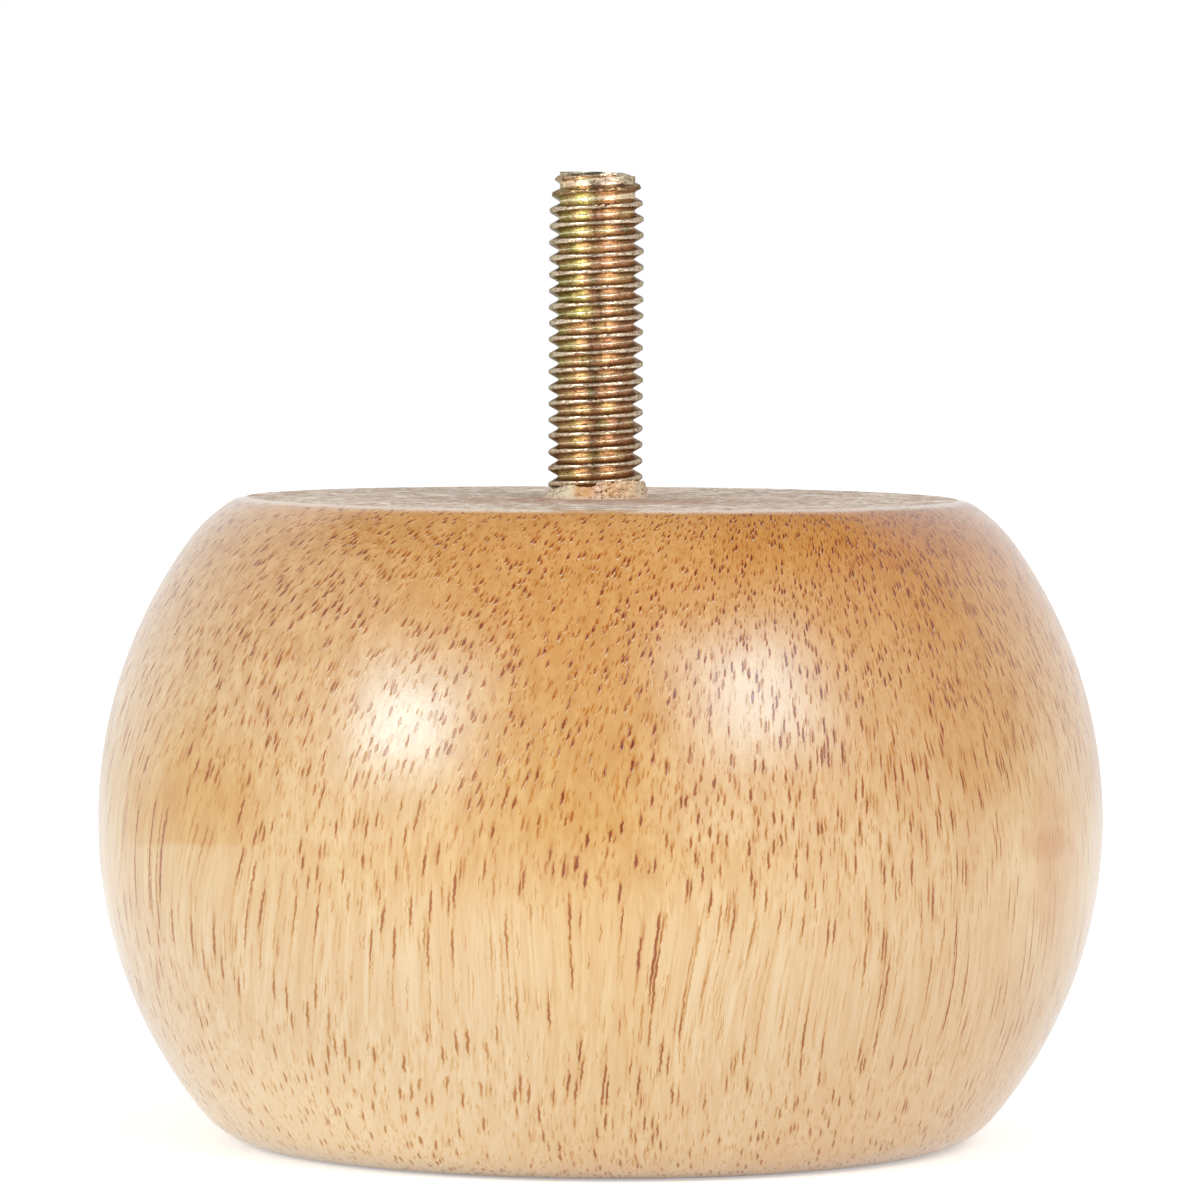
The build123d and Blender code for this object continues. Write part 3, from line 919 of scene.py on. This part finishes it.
def make_floor():
    """A pale floor that keeps the object's shadow and shows white to the camera."""
    material, n = new_material("pale_floor")
    diffuse = n.add("ShaderNodeBsdfDiffuse", {"Color": (0.9, 0.9, 0.9, 1)})
    path = n.add("ShaderNodeLightPath")
    away = n.vector("LENGTH", n.add("ShaderNodeTexCoord").outputs["Object"])
    seen = n.math("MULTIPLY", path.outputs["Is Camera Ray"], n.step(away, 0.08, 0.5, 0.44, 0.6))
    seen = n.math("MULTIPLY_ADD", path.outputs["Is Glossy Ray"], 0.35, seen)
    glow = n.add("ShaderNodeEmission", {"Color": WHITE, "Strength": seen})
    both = n.add("ShaderNodeAddShader", {0: diffuse.outputs[0], 1: glow.outputs[0]})
    n.finish(both)
    corners = [(x * FLOOR_REACH, y * FLOOR_REACH, 0) for x, y in ((-1, -1), (1, -1), (1, 1), (-1, 1))]
    stage_mesh("floor", corners, [(0, 1, 2, 3)], material)


def direction(left, up):
    """From the object, this many degrees to the viewer's left of the camera and above the floor."""
    a, e = radians(left), radians(up)
    return Vector((-sin(a) * cos(e), -cos(a) * cos(e), sin(e)))


def softbox(name, left, up, width, height, brightness, distance=1.4):
    """An area light that covers this many degrees, as seen from the object."""
    light = bpy.data.lights.new(name, "AREA")
    light.shape = "RECTANGLE"
    light.size = 2 * distance * tan(radians(width / 2))
    light.size_y = 2 * distance * tan(radians(height / 2))
    light.color = LAMP_COLOUR
    light.energy = brightness * pi * light.size * light.size_y
    made = put(name, light)
    away = direction(left, up)
    made.location = OBJECT_MIDDLE + away * distance
    made.rotation_mode = "QUATERNION"
    made.rotation_quaternion = away.to_track_quat("Z", "Y")


def dark_card(name, left_from, left_to, up_from, up_to, grey, distance=1.1):
    """A card that only the gloss sees, over this range of directions."""
    material, n = new_material(name)
    shader = n.add("ShaderNodeEmission", {"Color": WHITE, "Strength": grey})
    n.finish(shader)
    steps = CARD_STEPS
    points, faces = [], []
    for i in range(steps + 1):
        left = left_from + (left_to - left_from) * i / steps
        for k in range(steps + 1):
            up = up_from + (up_to - up_from) * k / steps
            points.append(tuple(OBJECT_MIDDLE + direction(left, up) * distance))
    for i in range(steps):
        for k in range(steps):
            a = i * (steps + 1) + k
            faces.append((a, a + 1, a + steps + 2, a + steps + 1))
    made = stage_mesh(name, points, faces, material)
    made.visible_camera = False
    made.visible_diffuse = False
    made.visible_shadow = False


def make_world():
    """White to the camera, gloss and glass, and a plain soft light on everything else."""
    world = bpy.data.worlds.new("white_studio")
    bpy.context.scene.world = world
    world.use_nodes = True
    n = Nodes(world.node_tree)
    path = n.add("ShaderNodeLightPath")
    seen = n.math("MAXIMUM", path.outputs["Is Camera Ray"], path.outputs["Is Glossy Ray"])
    seen = n.math("MAXIMUM", seen, path.outputs["Is Transmission Ray"])
    strength = n.step(seen, 0.0, 1.0, 0.52, 1.0, kind="LINEAR")
    back = n.add("ShaderNodeBackground", {"Color": WHITE, "Strength": strength})
    n.finish(back, "ShaderNodeOutputWorld")


def make_camera():
    data = bpy.data.cameras.new("camera")
    data.lens = CAMERA_LENS
    data.sensor_width = SENSOR
    data.sensor_fit = "AUTO"
    data.clip_start, data.clip_end = 0.01, 30
    camera = put("camera", data)
    t, a = CAMERA_PITCH, CAMERA_ROLL
    ahead = Vector((0, cos(t), -sin(t)))
    level_up = Vector((0, sin(t), cos(t)))
    right = Vector((1, 0, 0)) * cos(a) + level_up * sin(a)
    up = level_up * cos(a) - Vector((1, 0, 0)) * sin(a)
    turn = Matrix((right, up, -ahead)).transposed()
    camera.matrix_world = Matrix.Translation(Vector(CAMERA_PLACE) * MM) @ turn.to_4x4()
    bpy.context.scene.camera = camera


# ---- the scene ----

for scene_object in list(bpy.data.objects):
    if scene_object.type in ("LIGHT", "CAMERA"):
        bpy.data.objects.remove(scene_object)

body = make_body([lacquered_wood(), bare_wood()])
bolt = make_bolt(yellow_zinc())
collar = make_collar(dried_glue())
for piece, node, slot in (
    (body, "bun_body", "lacquered_wood"),
    (bolt, "hanger_bolt", "yellow_zinc_steel"),
    (collar, "glue_collar", "dried_glue"),
):
    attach(piece, "root")
    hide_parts(node)

make_floor()
make_world()
make_camera()

# Each softbox has a wide dimmer panel behind it. Angles are in degrees, seen from the object.
softbox("left_softbox", 47.5, 23, 18, 15, 8.2)
softbox("left_panel", 47, 24, 32, 29, 3.0, 1.5)
softbox("right_softbox", -39.5, 31, 19, 19, 5.6)
softbox("right_panel", -40, 32, 36, 34, 2.8, 1.5)
dark_card("front_card", 24, -13, -12, 60, 0.04)
dark_card("ceiling_card", 180, -180, 46, 90, 0.12, 1.3)
dark_card("left_card", 118, 66, -8, 50, 0.78)
dark_card("right_card", -60, -118, -8, 50, 0.62)

scene = bpy.context.scene
scene.view_settings.view_transform = "Standard"
